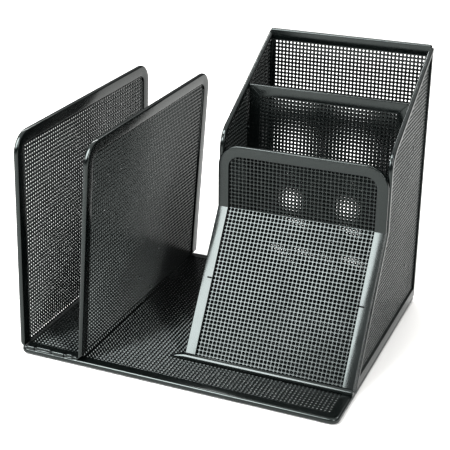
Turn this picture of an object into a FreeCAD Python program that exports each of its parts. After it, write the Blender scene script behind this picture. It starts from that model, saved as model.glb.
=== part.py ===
import FreeCAD, Part
import math
import os
import re

import Sketcher
from FreeCAD import Rotation, Vector

# Desk organizer of black enamelled steel mesh: a framed base tray carries an upright file
# sorter on the left and a stepped caddy with a sloping memo panel on the right.
# Millimetres, +Z up. The origin is the middle of the footprint, on the surface it stands on.
# In the pieces' own terms, "across" runs from the base's left edge, "along" from its front
# edge and "up" from the top of the base.

doc = FreeCAD.newDocument("DeskOrganizer")

# ---------------------------------------------------------------- driving dimensions
DIMENSIONS = [
    # base tray
    ("base_width", 320.0, "base, left to right"),
    ("base_depth", 264.0, "base, front to back"),
    ("base_thick", 5.0, "height of the base channel"),
    ("base_band", 10.0, "width of the base channel's flanges"),
    ("base_corner", 8.0, "corner radius of the base"),
    ("sheet_thick", 1.0, "steel strip of the channels"),
    ("mesh_thick", 0.7, "perforated steel sheet"),
    ("pad_diameter", 9.0, "rubber pad under each corner"),
    ("pad_thick", 1.5, "how far a pad stands below the base"),
    ("pad_inset", 8.0, "pad centre from the base's edges"),
    # file sorter
    ("sorter_left", 1.0, "sorter's left panel from the base's left edge, at its foot"),
    ("sorter_span", 62.6, "pitch of the two panels at their feet"),
    ("sorter_height", 217.0, "height of the panels above the base"),
    ("sorter_depth", 261.5, "depth of the panels and their floor"),
    ("left_lean", 2.1, "lean of the left panel, degrees"),
    ("right_lean", 4.5, "lean of the right panel, degrees"),
    ("panel_thick", 5.0, "thickness of a panel's frame"),
    ("panel_band", 12.0, "width of a panel's frame"),
    ("panel_corner", 20.0, "radius of a panel's upper corners"),
    ("rail_depth", 9.0, "depth of the rails of the sorter's floor"),
    ("rail_thick", 2.6, "height of those rails"),
    ("tab_thick", 0.9, "strip of the folded tabs"),
    ("tab_reach", 6.0, "how far a tab reaches over its rail"),
    # caddy
    ("caddy_left", 151.5, "caddy's left wall from the base's left edge"),
    ("caddy_back", 261.5, "caddy's back face from the base's front edge"),
    ("caddy_height", 269.0, "height of the back wall above the base"),
    ("slope_angle", 29.5, "slope of the side walls' upper edge, degrees"),
    ("shoulder_radius", 25.0, "bend of that edge into the upright front edge"),
    ("wall_thick", 4.5, "thickness of the walls' rims"),
    ("rim_width", 5.0, "width of the side walls' rims"),
    ("post_width", 4.5, "width of the rim down the rear edge"),
    ("foot_band", 9.5, "height of the bands along the walls' feet"),
    ("top_band", 11.0, "height of the band along the top of the back wall"),
    ("divider_front", 194.5, "divider's front face from the base's front edge"),
    ("divider_drop", 2.8, "top of the divider below the side walls' upper edge"),
    ("divider_band", 11.0, "width of the divider's frame"),
    ("bracket_depth", 24.0, "how far the divider's brackets run back"),
    ("bracket_past", 12.0, "how far the brackets run past the upper rivets"),
    ("rivet_shank", 3.0, "rivet shank diameter"),
    ("rivet_head", 5.0, "rivet head diameter"),
    ("rivet_rise", 0.8, "height of a rivet head"),
    ("rivet_back", 20.5, "rivets behind the divider's front face"),
    ("rivet_low", 53.5, "lower rivets above the base"),
    ("rivet_drop", 50.3, "upper rivets below the top of the divider"),
    # memo panel
    ("memo_front", 126.5, "upright part's front face from the base's front edge"),
    ("memo_height", 188.0, "top of the memo panel above the base"),
    ("memo_bend", 125.0, "bend of the panel above the base"),
    ("memo_angle", 57.3, "slope of the lower part, degrees"),
    ("memo_thick", 5.0, "thickness of the memo frame"),
    ("memo_band", 11.0, "width of the memo frame"),
    ("memo_corner", 22.0, "radius of the memo frame's upper corners"),
    ("memo_inset", 1.0, "memo panel from the caddy's outer faces"),
    ("notch_length", 5.5, "length of the slit in each slope band"),
    ("notch_width", 1.2, "width of that slit"),
    ("notch_place", 67.0, "height of the slits above the base"),
    ("ledge_thick", 1.2, "strip of the ledge"),
    ("ledge_reach", 4.5, "how far the ledge reaches in front of the panel's foot"),
    ("ledge_clear", 0.2, "gap between the ledge's flange and the side walls' feet"),
    ("ledge_lip", 5.0, "height of the ledge's lip"),
    ("ledge_past", 12.5, "how far the ledge runs past the caddy's left wall"),
]

sizes = doc.addObject("Spreadsheet::Sheet", "Sizes")
for row, (alias, number, note) in enumerate(DIMENSIONS, start=1):
    sizes.set(f"A{row}", alias)
    sizes.set(f"B{row}", str(number))
    sizes.set(f"C{row}", note)
    sizes.setAlias(f"B{row}", alias)
doc.recompute()

ALIASES = re.compile(r"\b(" + "|".join(alias for alias, _, _ in DIMENSIONS) + r")\b")


def cells(expression):
    """The expression with each dimension's name turned into its cell."""
    return ALIASES.sub(r"Sizes.\1", expression)


def value(expression):
    """What an expression in dimension names comes to, as a plain number."""
    return float(sizes.evalExpression(cells(expression)))


def bind(item, **properties):
    """Tie properties of an object to expressions in dimension names."""
    for name, expression in properties.items():
        item.setExpression(name.replace("__", "."), cells(expression))


# Places that several pieces share.
BASE_TOP = "(pad_thick + base_thick)"
PANEL_SHEET = "((panel_thick - mesh_thick) / 2)"
SHEET_SIDE = "((wall_thick - mesh_thick) / 2)"
MEMO_BACK = "(memo_front + memo_thick)"
SHOULDER_UP = f"(caddy_height - (caddy_back - {MEMO_BACK}) * tan(slope_angle))"
BEND_BACK_UP = "(memo_bend - memo_thick * tan((90 - memo_angle) / 2))"
CADDY_INNER = "(base_width - caddy_left - 2 * wall_thick)"
DIVIDER_TOP = f"({SHOULDER_UP} + (divider_front - {MEMO_BACK}) * tan(slope_angle) - divider_drop)"
RIVET_TOP = f"({DIVIDER_TOP} - rivet_drop)"
LEDGE_FRONT = "(memo_front - (memo_bend - ledge_thick) / tan(memo_angle) - ledge_reach)"
LEDGE_REAR = f"({MEMO_BACK} - {BEND_BACK_UP} / tan(memo_angle) - ledge_clear)"
SORTER_RIGHT = "(sorter_left + sorter_span)"


def place(item, across="0", along="0", up="0"):
    """Put an object's own origin at a point measured from the base's front left top corner."""
    bind(
        item,
        Placement__Base__x=f"{across} - base_width / 2",
        Placement__Base__y=f"{along} - base_depth / 2",
        Placement__Base__z=f"{up} + {BASE_TOP}",
    )


# ---------------------------------------------------------------- helpers for bodies
def new_body(name):
    """An empty body with its own origin."""
    body = doc.addObject("PartDesign::Body", name)
    doc.recompute()
    return body


def origin_plane(body, role):
    """One of the body's own origin planes."""
    return next(item for item in body.Origin.OriginFeatures if item.Role == role)


def corner_arc(before, corner, after, radius):
    """The ends and the arc that round one corner of an outline."""
    into = (before - corner).normalize()
    out = (after - corner).normalize()
    half = into.getAngle(out) / 2
    start = corner + into * (radius / math.tan(half))
    end = corner + out * (radius / math.tan(half))
    middle_line = (into + out).normalize()
    middle = corner + middle_line * (radius / math.sin(half) - radius)
    return start, end, Part.Arc(start, middle, end)


def outline(body, name, plane, corners):
    """A closed sketch through corners (across, up, radius): sharp where radius is "".

    Each sharp corner is held by two distances from the body's origin. A rounded one keeps
    them on a construction point, with an arc tangent to both lines.
    """
    sketch = body.newObject("Sketcher::SketchObject", name)
    sketch.AttachmentSupport = [(origin_plane(body, plane), "")]
    sketch.MapMode = "FlatFace"
    points = [Vector(value(a), value(b), 0) for a, b, _ in corners]
    count = len(points)
    starts, ends, arcs = [], [], []
    for k, (_, _, radius) in enumerate(corners):
        if radius:
            rounded = corner_arc(points[k - 1], points[k], points[(k + 1) % count], value(radius))
        else:
            rounded = (points[k], points[k], None)
        ends.append(rounded[0])
        starts.append(rounded[1])
        arcs.append(rounded[2])
    # line k runs from corner k to corner k + 1
    for k in range(count):
        sketch.addGeometry(Part.LineSegment(starts[k], ends[(k + 1) % count]), False)
    for k, (across, up, radius) in enumerate(corners):
        before = (k - 1) % count
        if radius:
            arc = sketch.addGeometry(arcs[k], False)
            near = sketch.getPoint(arc, 1).distanceToPoint(ends[k]) < 1e-6
            first, last = (1, 2) if near else (2, 1)
            sketch.addConstraint(Sketcher.Constraint("Tangent", before, 2, arc, first))
            sketch.addConstraint(Sketcher.Constraint("Tangent", k, 1, arc, last))
            hold(sketch, f"radius{k}", radius, "Radius", arc)
            held = (sketch.addGeometry(Part.Point(points[k]), True), 1)
            sketch.addConstraint(Sketcher.Constraint("PointOnObject", *held, before))
            sketch.addConstraint(Sketcher.Constraint("PointOnObject", *held, k))
        else:
            held = (k, 1)
            sketch.addConstraint(Sketcher.Constraint("Coincident", before, 2, k, 1))
        hold(sketch, f"across{k}", across, "DistanceX", -1, 1, *held)
        hold(sketch, f"up{k}", up, "DistanceY", -1, 1, *held)
    return sketch


def hold(sketch, name, expression, kind, *where):
    """One dimension of a sketch, tied to the sheet."""
    index = sketch.addConstraint(Sketcher.Constraint(kind, *where, value(expression)))
    sketch.renameConstraint(index, name)
    sketch.setExpression(f"Constraints.{name}", cells(expression))


def rectangle(left, low, right, high, radius=""):
    """Corners of a rectangle, all sharp or all with one radius."""
    return [(left, low, radius), (right, low, radius), (right, high, radius), (left, high, radius)]


def pad(body, sketch, length, reverse=False):
    """Add the sketch to the body, carried along its normal."""
    feature = body.newObject("PartDesign::Pad", f"{sketch.Name}_pad")
    feature.Profile = sketch
    feature.Reversed = reverse
    bind(feature, Length=length)
    doc.recompute()
    return feature


def pocket(body, sketch, depth, reverse=False):
    """Cut the sketch out of the body, and make sure that it did cut."""
    before = body.Shape.Volume
    feature = body.newObject("PartDesign::Pocket", f"{sketch.Name}_pocket")
    feature.Profile = sketch
    feature.Reversed = reverse
    bind(feature, Length=depth)
    doc.recompute()
    if not feature.Shape.Volume < before:
        raise RuntimeError(f"{feature.Name} cuts nothing")
    return feature


def plate(name, plane, corners, length, reverse=False):
    """A body of one outline carried straight."""
    body = new_body(name)
    pad(body, outline(body, f"{name}_outline", plane, corners), length, reverse)
    return body


def box(name, length, width, height, across, along, up):
    """A plain rectangular piece."""
    item = doc.addObject("Part::Box", name)
    bind(item, Length=length, Width=width, Height=height)
    place(item, across, along, up)
    return item


def cut(name, base, tool):
    """What is left of one shape around another."""
    item = doc.addObject("Part::Cut", name)
    item.Base = base
    item.Tool = tool
    return item


def join(name, shapes):
    """Several shapes as one piece, or as one group where they don't touch."""
    item = doc.addObject("Part::MultiFuse", name)
    item.Shapes = shapes
    return item


sub_parts = []


def sub_part(item, label):
    """Keep an object as a piece of the organizer, under its own name."""
    item.Label = label
    sub_parts.append(item)
    return item


# ---------------------------------------------------------------- base tray
# A steel strip folded to a channel runs round the floor and holds the mesh by its edge.
def base_ring(name, inset, radius):
    """Outline of the base, moved in by an inset."""
    return rectangle(inset, inset, f"base_width - {inset}", f"base_depth - {inset}", radius)


base_body = plate("base_channel", "XY_Plane", base_ring("base", "0", "base_corner"), "base_thick")
base_hollow = outline(
    base_body,
    "base_hollow",
    "XY_Plane",
    base_ring("hollow", "sheet_thick", "base_corner - sheet_thick"),
)
bind(base_hollow, AttachmentOffset__Base__z="base_thick - sheet_thick")
pocket(base_body, base_hollow, "base_thick - 2 * sheet_thick")
base_opening = outline(base_body, "base_opening", "XY_Plane", base_ring("opening", "base_band", ""))
bind(base_opening, AttachmentOffset__Base__z="base_thick")
pocket(base_body, base_opening, "base_thick")
place(base_body, up="-base_thick")
sub_part(base_body, "base_frame")

base_mesh = plate(
    "base_sheet",
    "XY_Plane",
    base_ring("sheet", "sheet_thick", "base_corner - sheet_thick"),
    "mesh_thick",
)
place(base_mesh, up="-sheet_thick - mesh_thick")
sub_part(base_mesh, "base_mesh")

pads = []
for side, across in (("left", "pad_inset"), ("right", "base_width - pad_inset")):
    for end, along in (("front", "pad_inset"), ("rear", "base_depth - pad_inset")):
        disc = doc.addObject("Part::Cylinder", f"pad_{end}_{side}")
        bind(disc, Radius="pad_diameter / 2", Height="pad_thick")
        place(disc, across, along, "-base_thick - pad_thick")
        pads.append(disc)
sub_part(join("pads", pads), "base_pads")


# ---------------------------------------------------------------- file sorter
def panel_corners(inset):
    """Corners of a panel seen from the side (along, up), moved in from three of its edges."""
    rear = f"sorter_depth - {inset}"
    top = f"sorter_height - {inset}"
    radius = f"panel_corner - {inset}"
    return [(inset, "0", ""), (rear, "0", ""), (rear, top, radius), (inset, top, radius)]


def leaning(name, face, foot, start, thick, lean):
    """What a face has in common with an upright slab that leans to the right.

    The slab's section across the base is a parallelogram, so it is level at its foot.
    """
    lean_run = f"sorter_height * tan({lean})"
    slab = plate(
        f"{name}_slab",
        "XZ_Plane",
        [
            (start, "0", ""),
            (f"{start} + {thick}", "0", ""),
            (f"{start} + {thick} + {lean_run}", "sorter_height", ""),
            (f"{start} + {lean_run}", "sorter_height", ""),
        ],
        "sorter_depth",
        reverse=True,
    )
    place(slab, foot)
    place(face, foot)
    item = doc.addObject("Part::Common", name)
    item.Base = slab
    item.Tool = face
    return item


def sorter_panel(side, foot, lean):
    """A mesh panel and the channel over its front, upper and rear edges."""
    run = f"panel_thick + sorter_height * tan({lean})"
    sheet_face = plate(f"{side}_sheet_face", "YZ_Plane", panel_corners("sheet_thick"), run)
    mesh = leaning(f"{side}_sheet", sheet_face, foot, PANEL_SHEET, "mesh_thick", lean)
    ring_face = plate(f"{side}_ring_face", "YZ_Plane", panel_corners("0"), run)
    opening = outline(ring_face, f"{side}_opening", "YZ_Plane", panel_corners("panel_band"))
    pocket(ring_face, opening, run, reverse=True)
    ring = leaning(f"{side}_ring", ring_face, foot, "0", "panel_thick", lean)
    sub_part(mesh, f"sorter_{side}_mesh")
    sub_part(cut(f"{side}_panel_frame", ring, mesh), f"sorter_{side}_frame")


sorter_panel("left", "sorter_left", "left_lean")
sorter_panel("right", SORTER_RIGHT, "right_lean")

# The floor of the sorter lies on the base between the panels, in a rail at each end.
FLOOR_LEFT = "(sorter_left + panel_thick + rail_thick * tan(left_lean))"
FLOOR_RUN = f"({SORTER_RIGHT} - {FLOOR_LEFT})"
RAIL_START = "tab_thick"
floor_mesh = box(
    "floor_sheet",
    FLOOR_RUN,
    f"sorter_depth - 2 * ({RAIL_START} + sheet_thick)",
    "mesh_thick",
    FLOOR_LEFT,
    f"{RAIL_START} + sheet_thick",
    "(rail_thick - mesh_thick) / 2",
)
sub_part(floor_mesh, "sorter_floor_mesh")
for end, along in (("front", RAIL_START), ("rear", f"sorter_depth - {RAIL_START} - rail_depth")):
    bar = box(f"{end}_rail_bar", FLOOR_RUN, "rail_depth", "rail_thick", FLOOR_LEFT, along, "0")
    sub_part(cut(f"{end}_rail", bar, floor_mesh), f"sorter_{end}_rail")

# Folded tabs, welded to the base channel, hook over the rails.
TABS = [("0.10", "0.34"), ("0.45", "0.25"), ("0.76", "0.15")]
for end in ("front", "rear"):
    tabs = []
    for number, (start, share) in enumerate(TABS, start=1):
        upright = box(
            f"{end}_tab_{number}_upright",
            f"{share} * {FLOOR_RUN}",
            "tab_thick",
            "rail_thick + tab_thick",
            f"{FLOOR_LEFT} + {start} * {FLOOR_RUN}",
            "0" if end == "front" else "sorter_depth - tab_thick",
            "0",
        )
        hook = box(
            f"{end}_tab_{number}_hook",
            f"{share} * {FLOOR_RUN}",
            "tab_reach",
            "tab_thick",
            f"{FLOOR_LEFT} + {start} * {FLOOR_RUN}",
            "0" if end == "front" else "sorter_depth - tab_reach",
            "rail_thick",
        )
        tabs += [upright, hook]
    sub_part(join(f"{end}_tabs", tabs), f"sorter_{end}_tabs")


# ---------------------------------------------------------------- caddy walls
def side_outline(inset, rear_inset, foot):
    """Corners of a side wall (along, up), moved in from its edges.

    From the rear foot they run up the rear edge, down the sloping upper edge, round the
    shoulder, down the upright front edge and down the slanting one.
    """
    front = f"({MEMO_BACK} + {inset})"
    rear = f"(caddy_back - {rear_inset})"
    slope_up = f"({SHOULDER_UP} - {inset} / cos(slope_angle))"
    slant_up = f"({BEND_BACK_UP} - {inset} / cos(memo_angle))"
    return [
        (rear, foot, ""),
        (rear, f"{slope_up} + ({rear} - {MEMO_BACK}) * tan(slope_angle)", ""),
        (front, f"{slope_up} + {inset} * tan(slope_angle)", f"shoulder_radius - {inset}"),
        (front, f"{slant_up} + {inset} * tan(memo_angle)", ""),
        (f"{MEMO_BACK} + ({foot} - {slant_up}) / tan(memo_angle)", foot, ""),
    ]


def divider_rivets(name, across, inward):
    """The rivets through one side wall and the divider's bracket behind it."""
    parts = []
    shank_length = f"({SHEET_SIDE} + mesh_thick)"
    for level, up in (("low", "rivet_low"), ("high", RIVET_TOP)):
        stages = (
            ("shank", "rivet_shank / 2", shank_length, "0"),
            ("outer", "rivet_head / 2", "rivet_rise", "-rivet_rise"),
            ("inner", "rivet_head / 2", "rivet_rise", shank_length),
        )
        for stage, radius, length, start in stages:
            piece = doc.addObject("Part::Cylinder", f"{name}_{level}_{stage}")
            bind(piece, Radius=radius, Height=length)
            piece.Placement.Rotation = Rotation(Vector(0, 1, 0), 90 * inward)
            place(piece, f"{across} + {inward} * ({start})", "divider_front + rivet_back", up)
            parts.append(piece)
    return parts


LEFT_SHEET = f"(caddy_left + {SHEET_SIDE})"
RIGHT_SHEET = f"(base_width - {SHEET_SIDE} - mesh_thick)"
left_rivets = divider_rivets("left_rivet", LEFT_SHEET, 1)
right_rivets = divider_rivets("right_rivet", f"({RIGHT_SHEET} + mesh_thick)", -1)
rivets = sub_part(join("rivets", left_rivets + right_rivets), "divider_rivets")

WALLS = (
    ("left", "caddy_left", LEFT_SHEET),
    ("right", "(base_width - wall_thick)", RIGHT_SHEET),
)
for side, across, sheet_across in WALLS:
    sheet = plate(
        f"{side}_wall_sheet",
        "YZ_Plane",
        side_outline("sheet_thick", "sheet_thick", "sheet_thick"),
        "mesh_thick",
    )
    place(sheet, sheet_across)
    sub_part(cut(f"{side}_wall_mesh", sheet, rivets), f"caddy_{side}_mesh")

    ring = plate(f"{side}_wall_ring", "YZ_Plane", side_outline("0", "0", "0"), "wall_thick")
    inner = outline(
        ring,
        f"{side}_wall_opening",
        "YZ_Plane",
        side_outline("rim_width", "post_width", "0"),
    )
    pocket(ring, inner, "wall_thick", reverse=True)
    place(ring, across)
    sub_part(cut(f"{side}_wall_rim", ring, sheet), f"caddy_{side}_rim")

    slant_up = f"({BEND_BACK_UP} - rim_width / cos(memo_angle))"
    band = plate(
        f"{side}_foot_bar",
        "YZ_Plane",
        [
            ("caddy_back - post_width", "0", ""),
            ("caddy_back - post_width", "foot_band", ""),
            (f"{MEMO_BACK} + (foot_band - {slant_up}) / tan(memo_angle)", "foot_band", ""),
            (f"{MEMO_BACK} - {slant_up} / tan(memo_angle)", "0", ""),
        ],
        "wall_thick",
    )
    place(band, across)
    sub_part(cut(f"{side}_foot_band", band, sheet), f"caddy_{side}_foot_band")

# The back wall stands between the rear posts, in a band at its top and its foot.
back_mesh = box(
    "back_sheet",
    CADDY_INNER,
    "mesh_thick",
    "caddy_height - 2 * sheet_thick",
    "caddy_left + wall_thick",
    f"caddy_back - {SHEET_SIDE} - mesh_thick",
    "sheet_thick",
)
sub_part(back_mesh, "caddy_back_mesh")
BACK_BANDS = (
    ("top", "top_band", "(caddy_height - top_band)"),
    ("foot", "foot_band", "0"),
)
for name, tall, up in BACK_BANDS:
    bar = box(
        f"back_{name}_bar",
        CADDY_INNER,
        "wall_thick",
        tall,
        "caddy_left + wall_thick",
        "caddy_back - wall_thick",
        up,
    )
    sub_part(cut(f"back_{name}_channel", bar, back_mesh), f"caddy_back_{name}_band")


# ---------------------------------------------------------------- divider
# A mesh sheet in a flat mitred frame. A bracket at each side is riveted to the side wall.
divider_mesh = box(
    "divider_sheet",
    f"{CADDY_INNER} - 2 * sheet_thick",
    "mesh_thick",
    f"{DIVIDER_TOP} - 2 * sheet_thick",
    "caddy_left + wall_thick + sheet_thick",
    f"divider_front + {SHEET_SIDE}",
    "sheet_thick",
)
sub_part(divider_mesh, "divider_mesh")
divider_ring = plate(
    "divider_ring",
    "XZ_Plane",
    rectangle("0", "0", CADDY_INNER, DIVIDER_TOP),
    "wall_thick",
    reverse=True,
)
divider_opening = outline(
    divider_ring,
    "divider_opening",
    "XZ_Plane",
    rectangle(
        "divider_band",
        "divider_band",
        f"{CADDY_INNER} - divider_band",
        f"{DIVIDER_TOP} - divider_band",
    ),
)
pocket(divider_ring, divider_opening, "wall_thick")
place(divider_ring, "caddy_left + wall_thick", "divider_front")
sub_part(cut("divider_channel", divider_ring, divider_mesh), "divider_frame")

BRACKETS = (
    ("left", f"{LEFT_SHEET} + mesh_thick"),
    ("right", "(base_width - wall_thick)"),
)
for side, across in BRACKETS:
    strip = box(
        f"{side}_bracket_strip",
        SHEET_SIDE,
        "wall_thick + bracket_depth",
        f"{RIVET_TOP} + bracket_past - foot_band",
        across,
        "divider_front",
        "foot_band",
    )
    sub_part(cut(f"{side}_bracket", strip, rivets), f"divider_{side}_bracket")


# ---------------------------------------------------------------- memo panel
def memo_upright(name, start, thick, inset, radius):
    """The upright part of the panel above the bend, with rounded upper corners."""
    left = f"(caddy_left + memo_inset + {inset})"
    right = f"(base_width - memo_inset - {inset})"
    top = f"(memo_height - {inset})"
    body = plate(
        name,
        "XZ_Plane",
        [
            (left, "memo_bend", ""),
            (right, "memo_bend", ""),
            (right, top, radius),
            (left, top, radius),
        ],
        thick,
        reverse=True,
    )
    place(body, "0", start)
    return body


def memo_slope(name, start, thick, left, width):
    """A strip of the panel below the bend, cut level where it stands on the ledge."""
    bend = "tan((90 - memo_angle) / 2)"
    near = f"(memo_front + {start})"
    far = f"(memo_front + {start} + {thick})"
    near_up = f"(memo_bend - {start} * {bend})"
    far_up = f"(memo_bend - ({start} + {thick}) * {bend})"
    corners = [
        (near, near_up, ""),
        (f"{near} - ({near_up} - ledge_thick) / tan(memo_angle)", "ledge_thick", ""),
        (f"{far} - ({far_up} - ledge_thick) / tan(memo_angle)", "ledge_thick", ""),
        (far, far_up, ""),
        (far, "memo_bend", ""),
    ]
    if start != "0":
        corners.append((near, "memo_bend", ""))
    body = plate(name, "YZ_Plane", corners, width)
    place(body, left)
    return body


MEMO_SHEET = "((memo_thick - mesh_thick) / 2)"
MEMO_LEFT = "(caddy_left + memo_inset)"
MEMO_WIDTH = "(base_width - caddy_left - 2 * memo_inset)"
memo_sheet = join(
    "memo_sheet",
    [
        memo_upright(
            "memo_upright_sheet",
            f"memo_front + {MEMO_SHEET}",
            "mesh_thick",
            "sheet_thick",
            "memo_corner - sheet_thick",
        ),
        memo_slope(
            "memo_slope_sheet",
            MEMO_SHEET,
            "mesh_thick",
            f"{MEMO_LEFT} + sheet_thick",
            f"{MEMO_WIDTH} - 2 * sheet_thick",
        ),
    ],
)
sub_part(memo_sheet, "memo_mesh")

arch = memo_upright("memo_arch", "memo_front", "memo_thick", "0", "memo_corner")
arch_opening = outline(
    arch,
    "memo_arch_opening",
    "XZ_Plane",
    [
        (f"{MEMO_LEFT} + memo_band", "memo_bend", ""),
        (f"{MEMO_LEFT} + {MEMO_WIDTH} - memo_band", "memo_bend", ""),
        (
            f"{MEMO_LEFT} + {MEMO_WIDTH} - memo_band",
            "memo_height - memo_band",
            "memo_corner - memo_band",
        ),
        (f"{MEMO_LEFT} + memo_band", "memo_height - memo_band", "memo_corner - memo_band"),
    ],
)
pocket(arch, arch_opening, "memo_thick")
SLOPE_BANDS = (
    ("left", MEMO_LEFT, f"{MEMO_LEFT} + memo_band - notch_length"),
    ("right", f"({MEMO_LEFT} + {MEMO_WIDTH} - memo_band)", f"{MEMO_LEFT} + {MEMO_WIDTH} - memo_band"),
)
bands, slits = [], []
for side, across, slit_across in SLOPE_BANDS:
    bands.append(memo_slope(f"memo_{side}_band", "0", "memo_thick", across, "memo_band"))
    slits.append(
        box(
            f"memo_{side}_slit",
            "notch_length",
            "3 * memo_thick",
            "notch_width",
            slit_across,
            "memo_front - (memo_bend - notch_place) / tan(memo_angle) - memo_thick",
            "notch_place",
        )
    )
memo_folded = join("memo_folded", [arch] + bands)
memo_channel = cut("memo_channel", memo_folded, memo_sheet)
sub_part(cut("memo_slit_channel", memo_channel, join("memo_slits", slits)), "memo_frame")

# The ledge is a strip bent to an L: its flange lies on the base under the panel's foot,
# and its lip keeps paper from sliding off.
ledge = plate(
    "ledge_strip",
    "YZ_Plane",
    [
        (LEDGE_FRONT, "0", ""),
        (LEDGE_REAR, "0", ""),
        (LEDGE_REAR, "ledge_thick", ""),
        (f"{LEDGE_FRONT} + ledge_thick", "ledge_thick", ""),
        (f"{LEDGE_FRONT} + ledge_thick", "ledge_lip", ""),
        (LEDGE_FRONT, "ledge_lip", ""),
    ],
    "base_width - caddy_left + ledge_past",
)
place(ledge, "caddy_left - ledge_past")
sub_part(ledge, "memo_ledge")


# ---------------------------------------------------------------- checks and files
doc.recompute()
for item in doc.Objects:
    if "Invalid" in item.State or "Error" in item.State:
        raise RuntimeError(f"{item.Name} failed: {item.State}")
for item in sub_parts:
    if item.Shape.isNull() or not item.Shape.isValid() or not item.Shape.Solids:
        raise RuntimeError(f"{item.Label} has no valid solid")

os.makedirs("parts", exist_ok=True)
for item in sub_parts:
    item.Shape.exportStep(f"parts/{item.Label}.step")
    box_size = item.Shape.BoundBox
    print(
        f"{item.Label:26s} solids {len(item.Shape.Solids)}"
        f"  volume {item.Shape.Volume:9.0f}"
        f"  x {box_size.XMin:7.1f} {box_size.XMax:7.1f}"
        f"  y {box_size.YMin:7.1f} {box_size.YMax:7.1f}"
        f"  z {box_size.ZMin:6.1f} {box_size.ZMax:6.1f}"
    )
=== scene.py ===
import math

import bmesh
import bpy
import numpy as np
from mathutils import Matrix, Vector


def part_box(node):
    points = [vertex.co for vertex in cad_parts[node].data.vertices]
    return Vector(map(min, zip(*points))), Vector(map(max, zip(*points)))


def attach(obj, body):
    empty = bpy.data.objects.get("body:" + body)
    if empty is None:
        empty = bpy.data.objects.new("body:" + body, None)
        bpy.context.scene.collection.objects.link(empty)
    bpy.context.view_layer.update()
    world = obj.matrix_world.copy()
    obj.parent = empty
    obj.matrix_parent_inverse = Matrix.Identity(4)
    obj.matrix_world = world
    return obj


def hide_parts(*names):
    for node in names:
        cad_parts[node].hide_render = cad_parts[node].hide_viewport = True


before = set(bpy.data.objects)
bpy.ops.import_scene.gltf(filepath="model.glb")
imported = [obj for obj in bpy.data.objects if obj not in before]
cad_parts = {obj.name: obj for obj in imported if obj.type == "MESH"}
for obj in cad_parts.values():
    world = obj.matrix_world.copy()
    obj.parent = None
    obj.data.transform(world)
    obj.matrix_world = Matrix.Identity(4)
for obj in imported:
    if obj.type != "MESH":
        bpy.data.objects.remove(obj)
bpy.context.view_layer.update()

mm = 0.001
scene = bpy.context.scene
scene.view_settings.view_transform = "Standard"
scene.view_settings.gamma = 0.8

# ---------------------------------------------------------------- camera
# A long lens a little over a metre away, looking down on the front right of the organizer.
AZIMUTH, ELEVATION, ROLL = 22.893, 23.661, 0.375
AIM = Vector((-3.3 * mm, 2.4 * mm, 108.5 * mm))
DISTANCE = 1121.6 * mm
LENS = 92.0


def direction(azimuth, elevation):
    """The unit vector towards a place seen at that azimuth, from -Y towards +X, and elevation."""
    azimuth, elevation = math.radians(azimuth), math.radians(elevation)
    level = math.cos(elevation)
    return Vector((math.sin(azimuth) * level, -math.cos(azimuth) * level, math.sin(elevation)))


camera = bpy.data.objects.new("camera", bpy.data.cameras.new("camera"))
scene.collection.objects.link(camera)
scene.camera = camera
camera.data.lens = LENS
camera.data.clip_end = 50.0
camera.location = AIM + DISTANCE * direction(AZIMUTH, ELEVATION)
camera.rotation_mode = "QUATERNION"
camera.rotation_quaternion = (
    direction(AZIMUTH, ELEVATION).to_track_quat("Z", "Y")
    @ Matrix.Rotation(math.radians(ROLL), 4, "Z").to_quaternion()
)

# ---------------------------------------------------------------- floor and light
# A white studio table under a bright ceiling, between dim walls. A large round soft box hangs
# near, in front and to the left. Smaller ones behind and to the right draw the folded edges.
# The view's gamma deepens the darks.
floor_mesh = bpy.data.meshes.new("floor")
FLOOR_HALF = 6.0
floor_mesh.from_pydata(
    [(x * FLOOR_HALF, y * FLOOR_HALF, 0.0) for x, y in ((-1, -1), (1, -1), (1, 1), (-1, 1))],
    [],
    [(0, 1, 2, 3)],
)
floor = bpy.data.objects.new("floor", floor_mesh)
scene.collection.objects.link(floor)
floor_paint = bpy.data.materials.new("floor_paint")
floor_paint.use_nodes = True
floor_shader = floor_paint.node_tree.nodes["Principled BSDF"]
floor_shader.inputs["Base Color"].default_value = (0.66, 0.655, 0.645, 1)
floor_shader.inputs["Roughness"].default_value = 0.9
floor_shader.inputs["Specular IOR Level"].default_value = 0.1
floor_mesh.materials.append(floor_paint)


def ramp(tree, source, start, end, low, high):
    """A smooth step between two values of a socket, giving low at the start and high at the end."""
    step = tree.nodes.new("ShaderNodeMapRange")
    step.interpolation_type = "SMOOTHSTEP"
    tree.links.new(source, step.inputs[0])
    for index, setting in enumerate((start, end, low, high), 1):
        step.inputs[index].default_value = setting
    return step.outputs[0]


room = bpy.data.worlds.new("room")
room.use_nodes = True
scene.world = room
sky = room.node_tree
seen = sky.nodes.new("ShaderNodeTexCoord")
parts = sky.nodes.new("ShaderNodeSeparateXYZ")
sky.links.new(seen.outputs["Generated"], parts.inputs[0])
# the room's radiance, and the steepness (the direction's z) at which walls end and ceiling begins
WALLS, CEILING = 0.30, 2.1
WALLS_END, CEILING_FROM = 0.42, 0.70
shine = ramp(sky, parts.outputs[2], WALLS_END, CEILING_FROM, WALLS, CEILING)
sky.links.new(shine, sky.nodes["Background"].inputs["Strength"])
sky.nodes["Background"].inputs["Color"].default_value = (1.0, 1.0, 1.0, 1)


LIT_MIDDLE = Vector((0, 0, 120 * mm))


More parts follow.
